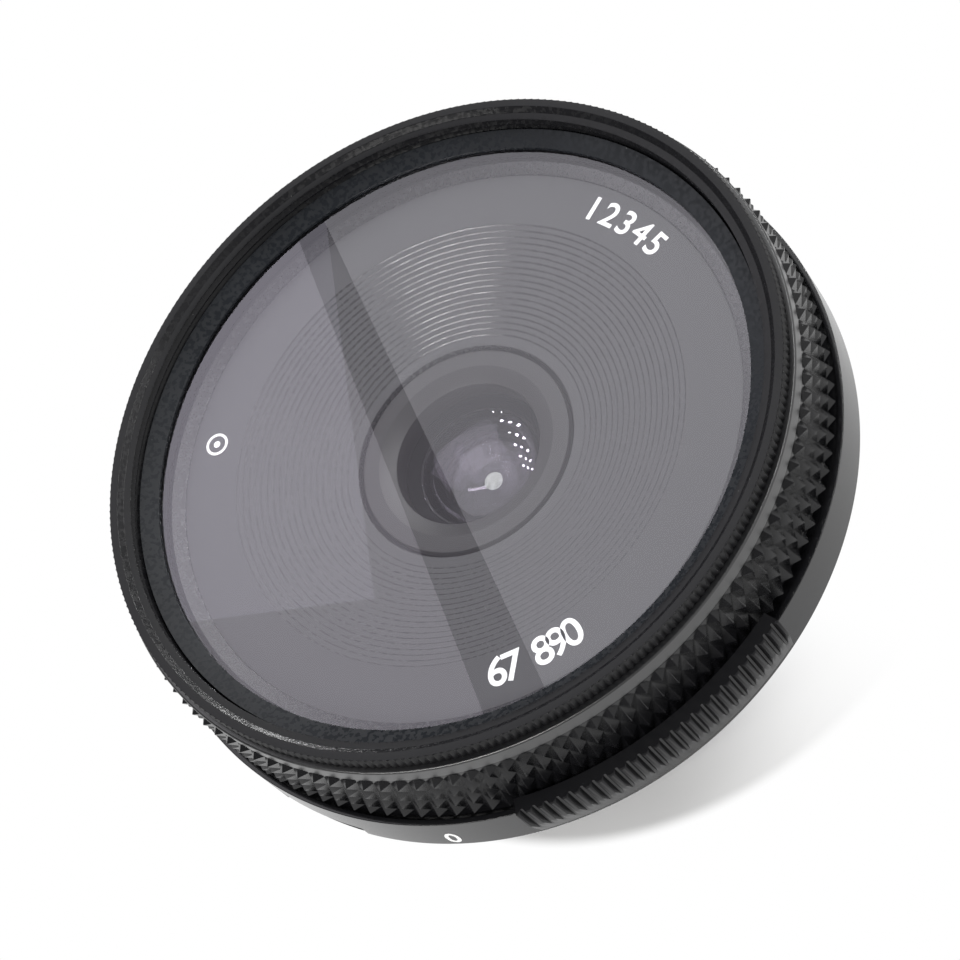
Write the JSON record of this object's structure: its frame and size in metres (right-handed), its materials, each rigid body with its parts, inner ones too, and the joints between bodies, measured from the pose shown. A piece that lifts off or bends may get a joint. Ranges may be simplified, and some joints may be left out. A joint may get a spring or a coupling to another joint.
{
  "type": "fisheye lens",
  "caption": "Flat fisheye lens with a knurled focus ring, a ribbed focus tab, a dished front plate, a small domed element, a screw-in filter and a bayonet mount.",
  "frame": {"origin": "on the optical axis in the plane of the mount flange that seats on the camera", "axes": "+Z along the optical axis towards the subject, -Y through the middle of the focus tab at infinity, +X completes a right-handed frame"},
  "size_m": [0.0604, 0.0614, 0.0193],
  "materials": {
    "rim_anodised": "satin black anodised, fine knurl",
    "filter_glass": "clear, coated",
    "retainer_anodised": "matte black anodised",
    "barrel_anodised": "satin black anodised",
    "nameplate_anodised": "matte black anodised with fine circular steps",
    "focus_anodised": "semi-gloss black anodised",
    "tab_anodised": "semi-gloss black anodised",
    "base_anodised": "polished black anodised",
    "cell_anodised": "matte black anodised",
    "housing_anodised": "satin black anodised",
    "pillar_aluminium": "bare turned",
    "helicoid_brass": "turned, greased",
    "screw_steel": "zinc plated",
    "pin_steel": "ground",
    "mount_chrome": "satin chrome on metal",
    "washer_plastic": "low friction",
    "dot_enamel": "red enamel",
    "baffle_black": "matte black",
    "coated_glass": "multi-coated"
  },
  "bodies": {
    "body": {"front_barrel": "barrel_anodised", "nameplate": "nameplate_anodised", "barrel_screws": "screw_steel", "glide_washer": "washer_plastic", "base_ring": "base_anodised", "pillars": "pillar_aluminium", "pillar_screws": "screw_steel", "guide_pins": "pin_steel", "mount_plate": "mount_chrome", "mount_screws": "screw_steel", "mount_dot": "dot_enamel", "rear_baffle": "baffle_black"},
    "focus": {"focus_ring": "focus_anodised", "focus_tab": "tab_anodised", "tab_screws": "screw_steel", "helicoid_ring": "helicoid_brass", "drive_screws": "screw_steel"},
    "cell": {"lens_cell": "cell_anodised", "front_retainer": "housing_anodised", "front_element": "coated_glass", "front_spacer": "cell_anodised", "second_element": "coated_glass", "aperture_stop": "baffle_black", "doublet_front_element": "coated_glass", "doublet_rear_element": "coated_glass", "rear_spacer": "cell_anodised", "rear_element": "coated_glass", "rear_retainer": "cell_anodised"},
    "filter_pane": {"filter_glass": "filter_glass"},
    "filter_rim": {"filter_ring": "rim_anodised", "filter_retaining_ring": "retainer_anodised"}
  },
  "joints": [
    {"name": "focus_turn", "type": "hinge", "parent": "body", "child": "focus", "pos_m": [0, 0, 0], "axis": [0, 0, 1], "range_deg": [0, 90]},
    {"name": "cell_slide", "type": "slide", "parent": "body", "child": "cell", "axis": [0, 0, 1], "range_m": [0, 0.00035]},
    {"name": "filter_lift", "type": "slide", "parent": "body", "child": "filter_pane", "axis": [0, 0, 1], "range_m": [0, 0.0026]},
    {"name": "filter_turn", "type": "hinge", "parent": "filter_pane", "child": "filter_rim", "pos_m": [0, 0, 0], "axis": [0, 0, 1], "range_deg": [0, 1245]}
  ],
  "couplings": [
    {"joint": "cell_slide", "follows": "focus_turn", "m_per_rad": 0.00022282},
    {"joint": "filter_lift", "follows": "filter_turn", "m_per_rad": 0.00011937}
  ]
}
